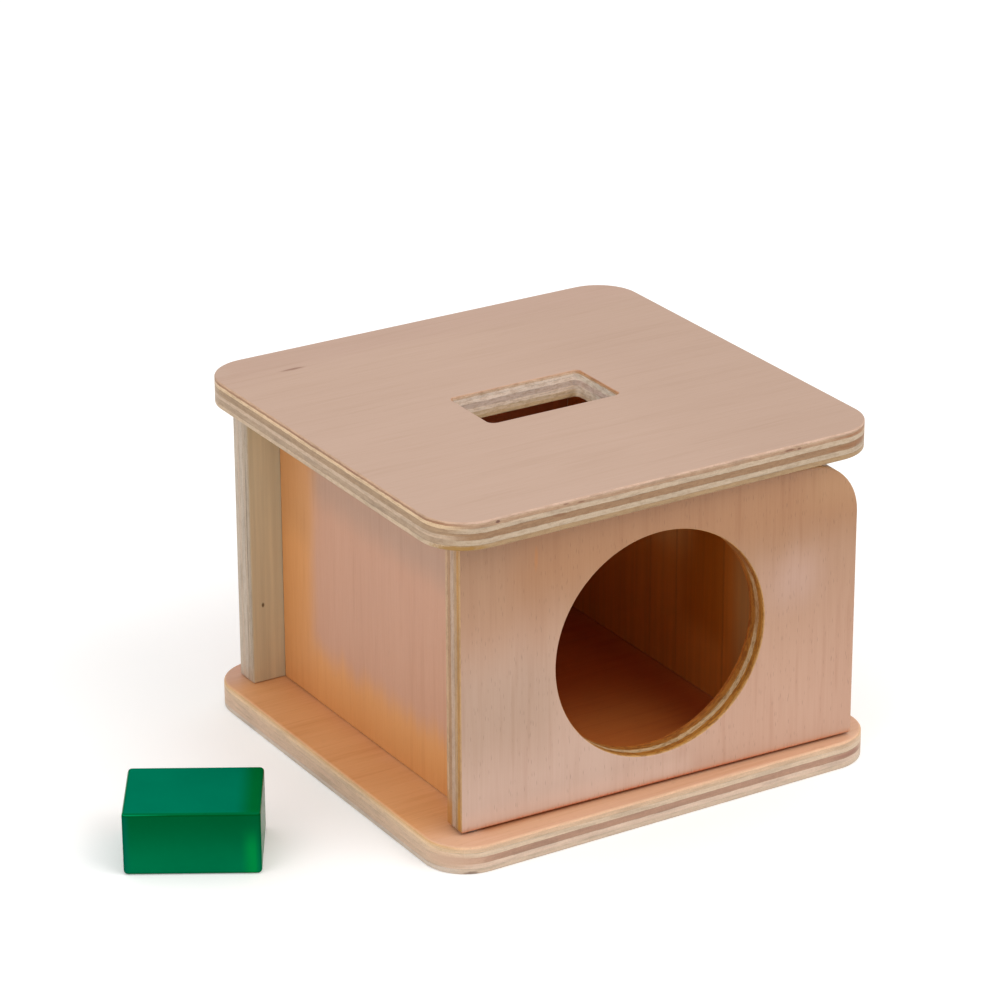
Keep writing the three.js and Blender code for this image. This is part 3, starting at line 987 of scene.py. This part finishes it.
blockSetup = dict(
    node="green_block", yaw=math.radians(-30.7), edge=1.3 * mm, edgeSegments=6,
    # the top's colour is painted lighter and bluer than the sides' for the light that falls on it; the darker
    # end of the top and the light band on the side are painted reflections
    sideLow=(0, 111, 69), sideHigh=(0, 88, 46), top=(0, 113, 83), topEndReflection=(0, 98, 45), topEndReach=(8.0, 2.0),
    reflectedBand=(0, 140, 62), bandPlace=2.4, bandRise=(-4.0, -0.2), bandFall=(1.9, 0.2),
    bandSpan=(7.0, -3.0, 0.0, 0.72),
    farEnd=(0, 96, 76), farEndReach=(2.6, 0.3), farEndShare=0.7,
    # painted shading across the rounded upper edge: a dark line, a greener tone and a highlight line
    rimShadeLine=(0, 78, 32), rimLineSpan=(0.04, 0.20), rim=(0, 108, 58), rimSpan=(0.30, 0.62),
    rimLight=(0, 142, 88), rimLightRise=(0.28, 0.42), rimLightFall=(0.68, 0.48), rimLightStart=-3.0,
    topLightSpan=(0.66, 0.99),
    cloudGrain=(0.05, 0.05, 0.05), cloudSpan=(0.3, 0.7, 1.04, 0.96),
    # painted shade along the edges
    edgeShadeSpan=(0.2, 0.9, 0.76, 1.0),
    slantBlend=0.5, sheenSpan=(0.68, 0.92, 0.0, 0.3), coatSpan=(0.68, 0.92, 0.0, 0.12), coatRoughness=0.12,
    peelGrain=(0.7, 0.7, 0.7), peelRelief=0.003, glossSpan=(0.2, 0.8, 0.26, 0.36),
)


def makeGreenLacquer(axes, low, high):
    material, tree, shader = newMaterial("greenLacquer")
    look = blockSetup
    coordinates = newNode(tree, "TexCoord").outputs
    place = inMillimetres(tree)
    cloud = noise(tree, place, look["cloudGrain"], detail=3)
    peel = noise(tree, place, look["peelGrain"], detail=1)
    own = newNode(
        tree, "Mapping",
        {"Vector": coordinates["Object"], "Location": axes @ ((low + high) / 2),
         "Rotation": axes.to_euler(), "Scale": (mm, mm, mm)},
        vector_type="TEXTURE",
    ).outputs[0]
    half = (high - low) / 2 / mm

    # the sides run darker towards the top and bluer at the far end, with a lighter band near one end that is
    # a painted reflection
    spot = parted(tree, own)
    side = mixed(tree, fade(tree, spot[2], -half.z, half.z), tint(*look["sideLow"]), tint(*look["sideHigh"]))
    pastBand = calc(tree, "SUBTRACT", spot[0], half.x - look["bandPlace"])
    reflectedBand = fade(tree, pastBand, *look["bandRise"])
    reflectedBand = calc(tree, "MULTIPLY", reflectedBand, fade(tree, pastBand, *look["bandFall"]))
    reflectedBand = calc(tree, "MULTIPLY", reflectedBand, fade(tree, spot[2], *look["bandSpan"]))
    side = mixed(tree, reflectedBand, side, tint(*look["reflectedBand"]))
    start, end = (reach - half.x for reach in look["farEndReach"])
    farEnd = fade(tree, spot[0], start, end, 0.0, look["farEndShare"])
    side = mixed(tree, farEnd, side, tint(*look["farEnd"]))
    # the top runs darker towards the end: a painted reflection
    start, end = (half.x - reach for reach in look["topEndReach"])
    top = mixed(tree, fade(tree, spot[0], start, end), tint(*look["top"]), tint(*look["topEndReflection"]))

    # painted shading over the upper edge: up from the side the colour turns to a painted dark line, then
    # greener, with a painted highlight line at the far end, and then to the top, which is painted lighter and
    # bluer for the light that falls on it
    upward = parted(tree, coordinates["Normal"])[2]
    colour = mixed(tree, fade(tree, upward, *look["rimLineSpan"]), side, tint(*look["rimShadeLine"]))
    colour = mixed(tree, fade(tree, upward, *look["rimSpan"]), colour, tint(*look["rim"]))
    lit = fade(tree, upward, *look["rimLightRise"])
    lit = calc(tree, "MULTIPLY", lit, fade(tree, upward, *look["rimLightFall"]))
    lit = calc(tree, "MULTIPLY", lit, fade(tree, spot[0], look["rimLightStart"], -half.x))
    colour = mixed(tree, lit, colour, tint(*look["rimLight"]))
    colour = mixed(tree, fade(tree, upward, *look["topLightSpan"]), colour, top)
    colour = dimmed(tree, colour, fade(tree, cloud, *look["cloudSpan"]))

    # painted shade darkens the edges, and the gloss only shows at a low angle
    inset = parted(tree, vectorCalc(tree, "SUBTRACT", half, vectorCalc(tree, "ABSOLUTE", own)))
    pairs = [calc(tree, "MAXIMUM", inset[first], inset[second]) for first, second in ((0, 1), (1, 2), (0, 2))]
    nearest = calc(tree, "MINIMUM", calc(tree, "MINIMUM", pairs[0], pairs[1]), pairs[2])
    colour = dimmed(tree, colour, fade(tree, nearest, *look["edgeShadeSpan"]))
    slant = newNode(tree, "LayerWeight", {"Blend": look["slantBlend"]}).outputs["Facing"]
    tree.links.new(fade(tree, slant, *look["sheenSpan"]), shader.inputs["Specular IOR Level"])
    tree.links.new(fade(tree, slant, *look["coatSpan"]), shader.inputs["Coat Weight"])
    gloss = fade(tree, peel, *look["glossSpan"])
    feedShader(tree, shader, colour, gloss, calc(tree, "MULTIPLY", peel, look["peelRelief"]))
    setShader(shader, {"Coat Roughness": look["coatRoughness"]})
    return material


def makeBlock():
    axes = Matrix.Rotation(blockSetup["yaw"], 4, "Z")
    low, high = ownBox(blockSetup["node"], axes)
    bm = bmesh.new()
    bmesh.ops.create_cube(bm, size=1.0)
    bmesh.ops.scale(bm, verts=bm.verts[:], vec=high - low)
    bmesh.ops.bevel(
        bm, geom=bm.edges[:], offset=blockSetup["edge"], offset_type="OFFSET", affect="EDGES", material=-1,
        segments=blockSetup["edgeSegments"], profile=0.5, clamp_overlap=True,
    )
    bmesh.ops.translate(bm, verts=bm.verts[:], vec=(low + high) / 2)
    bmesh.ops.transform(bm, matrix=axes, verts=bm.verts[:])
    lacquer = makeGreenLacquer(axes, low, high)
    return finishPiece(bm, "greenBlock", "block", [blockSetup["node"]], lacquer)


greenBlock = makeBlock()


# Floor, light and camera

stageSetup = dict(
    floorHalf=12.0, floorColour=(248, 248, 247), floorGlow=0.14, floorRoughness=0.9,
    mottleGrain=(3.0, 3.0, 3.0), mottleSpan=(0.3, 0.7, 0.995, 1.0),
    worldSpan=(0.15, 0.75, 0.42, 1.0), white=(1, 1, 1, 1),
    keyPlace=(0.9, -1.5, 1.9), keySize=1.6, keyPower=22.0,
    fillPlace=(-1.8, -0.6, 1.0), fillSize=1.6, fillPower=8.0,
)
cameraSetup = dict(
    target=(17.424 * mm, 48.674 * mm, 55.0 * mm), distance=1317.56 * mm,
    azimuth=-31.51, elevation=22.90, roll=-0.224, lens=150.349, sensor=36.0,
)


def makeFloor():
    material, tree, shader = newMaterial("floorWhite")
    coordinates = newNode(tree, "TexCoord").outputs["Object"]
    mottle = noise(tree, coordinates, stageSetup["mottleGrain"], detail=2)
    colour = dimmed(tree, tint(*stageSetup["floorColour"]), fade(tree, mottle, *stageSetup["mottleSpan"]))
    tree.links.new(colour, shader.inputs["Base Color"])
    # the glow lightens the shadow for the camera alone, so the light on the pieces stays as it is
    seen = newNode(tree, "LightPath").outputs["Is Camera Ray"]
    glow = calc(tree, "MULTIPLY", seen, stageSetup["floorGlow"])
    tree.links.new(glow, shader.inputs["Emission Strength"])
    setShader(shader, {"Roughness": stageSetup["floorRoughness"], "Emission Color": stageSetup["white"]})
    bm = bmesh.new()
    bmesh.ops.create_grid(bm, x_segments=1, y_segments=1, size=stageSetup["floorHalf"])
    mesh = bpy.data.meshes.new("floor")
    bm.to_mesh(mesh)
    bm.free()
    floor = bpy.data.objects.new("floor", mesh)
    floor.data.materials.append(material)
    bpy.context.scene.collection.objects.link(floor)


def makeLight(name, place, size, power):
    lamp = bpy.data.lights.new(name, "AREA")
    lamp.size = size
    lamp.energy = power
    light = bpy.data.objects.new(name, lamp)
    light.location = place
    light.rotation_euler = (-Vector(place)).to_track_quat("-Z", "Y").to_euler()
    bpy.context.scene.collection.objects.link(light)


def makeWorld():
    world = bpy.data.worlds.new("studio")
    world.use_nodes = True
    tree = world.node_tree
    upward = parted(tree, newNode(tree, "TexCoord").outputs["Generated"])[2]
    background = tree.nodes["Background"]
    tree.links.new(fade(tree, upward, *stageSetup["worldSpan"]), background.inputs["Strength"])
    setShader(background, {"Color": stageSetup["white"]})
    bpy.context.scene.world = world
    bpy.context.scene.view_settings.view_transform = "Standard"


def makeCamera():
    lens = bpy.data.cameras.new("camera")
    lens.lens = cameraSetup["lens"]
    lens.sensor_width = cameraSetup["sensor"]
    camera = bpy.data.objects.new("camera", lens)
    azimuth = math.radians(cameraSetup["azimuth"])
    elevation = math.radians(cameraSetup["elevation"])
    target = Vector(cameraSetup["target"])
    level = math.cos(elevation)
    away = Vector((math.sin(azimuth) * level, -math.cos(azimuth) * level, math.sin(elevation)))
    aim = (-away).to_track_quat("-Z", "Y").to_matrix().to_4x4()
    roll = Matrix.Rotation(math.radians(cameraSetup["roll"]), 4, "Z")
    camera.matrix_world = Matrix.Translation(target + away * cameraSetup["distance"]) @ aim @ roll
    bpy.context.scene.collection.objects.link(camera)
    bpy.context.scene.camera = camera


makeFloor()
makeLight("keyLight", stageSetup["keyPlace"], stageSetup["keySize"], stageSetup["keyPower"])
makeLight("fillLight", stageSetup["fillPlace"], stageSetup["fillSize"], stageSetup["fillPower"])
makeWorld()
makeCamera()
print("stage set")
